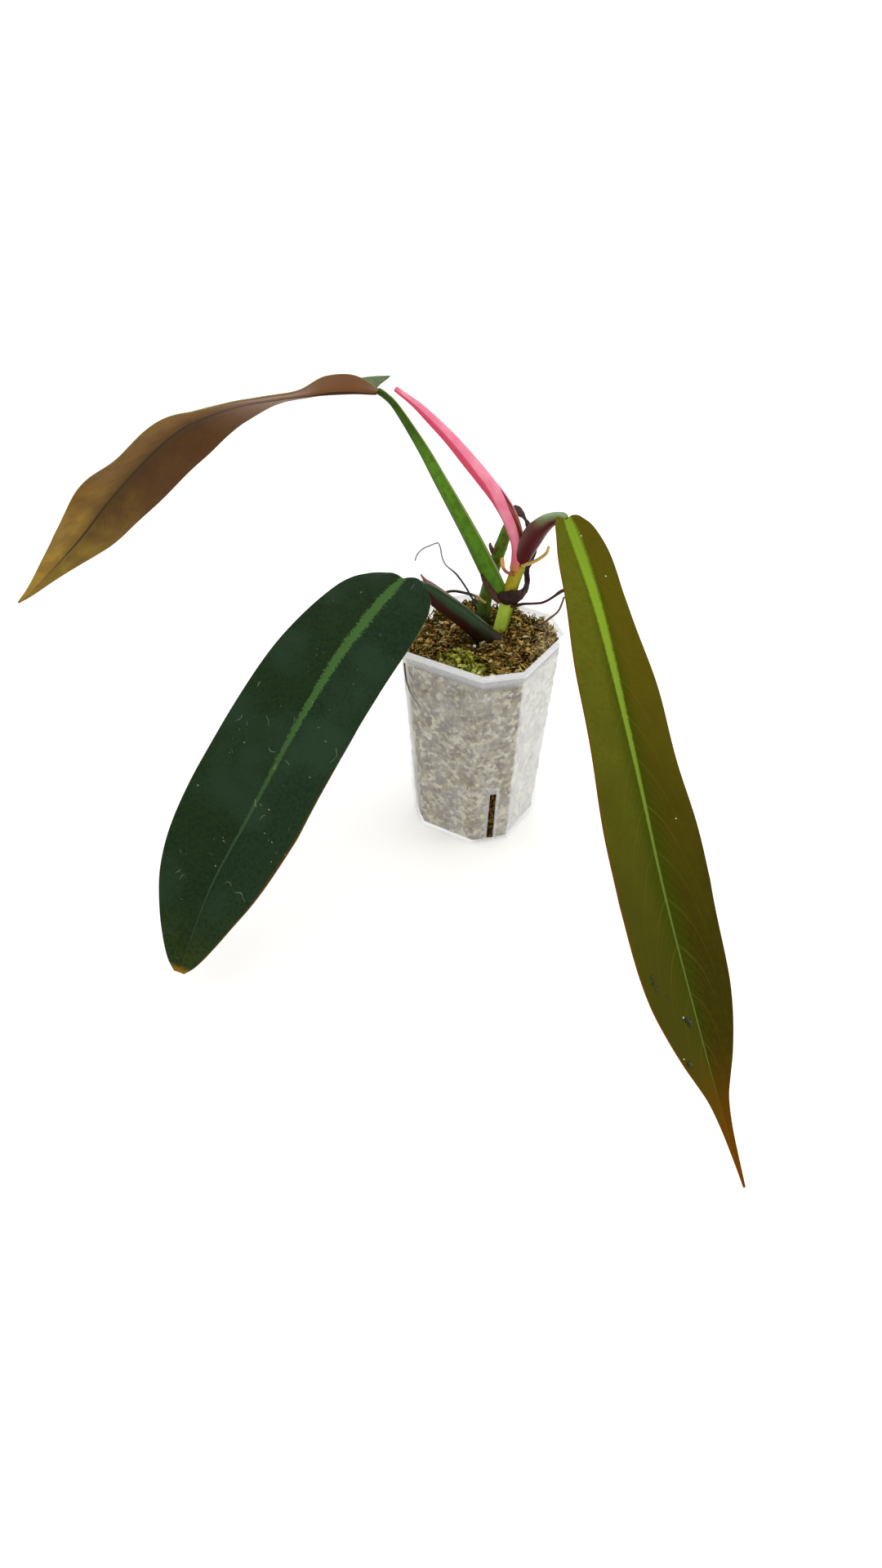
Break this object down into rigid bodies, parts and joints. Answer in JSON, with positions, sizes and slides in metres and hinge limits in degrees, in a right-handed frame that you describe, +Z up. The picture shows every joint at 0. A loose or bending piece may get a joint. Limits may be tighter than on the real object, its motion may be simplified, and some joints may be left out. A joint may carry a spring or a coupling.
{
  "type": "potted_philodendron",
  "caption": "Young bicolor philodendron with strap leaves, a pink new-leaf sheath and air roots, in moss in a translucent eight-sided nursery pot",
  "frame": {"origin": "centre of the pot's underside", "axes": "+Z up, the pot's wide sides face along X and Y; the plant's front is at azimuth 28.5 degrees from -Y"},
  "size_m": [0.4135, 0.2138, 0.2103],
  "materials": {
    "pot_plastic": "translucent, satin, a little cloudy",
    "moss": "rough, fibrous",
    "perlite": "matt",
    "stem_bright": "waxy",
    "stem_dark": "waxy",
    "petiole_maroon": "waxy",
    "petiole_green": "waxy",
    "petiole_dark": "waxy",
    "blade_olive": "satin",
    "blade_copper": "satin",
    "blade_dark": "velvety satin",
    "new_leaf": "glossy",
    "cataphyll": "waxy",
    "dry_sheath": "dry, papery",
    "root_gold": "matt",
    "root_dark": "matt",
    "root_grey": "matt"
  },
  "bodies": {
    "root": {"pot_shell": "pot_plastic", "moss_plug": "moss", "perlite_grain": "perlite", "stem_front": "stem_bright", "stem_back": "stem_dark", "petiole_right": "petiole_maroon", "petiole_back": "petiole_green", "petiole_left": "petiole_dark", "blade_right": "blade_olive", "blade_back": "blade_copper", "blade_left": "blade_dark", "new_leaf_rolled": "new_leaf", "cataphyll_pink": "cataphyll", "sheath_dry_long": "dry_sheath", "sheath_dry_left": "dry_sheath", "bract_dry": "dry_sheath", "aerial_root_gold_right": "root_gold", "aerial_root_gold_left": "root_gold", "aerial_root_dark_right": "root_dark", "aerial_root_low_right": "root_grey", "aerial_root_curl_left": "root_dark", "aerial_root_thread_left": "root_grey"}
  },
  "joints": []
}
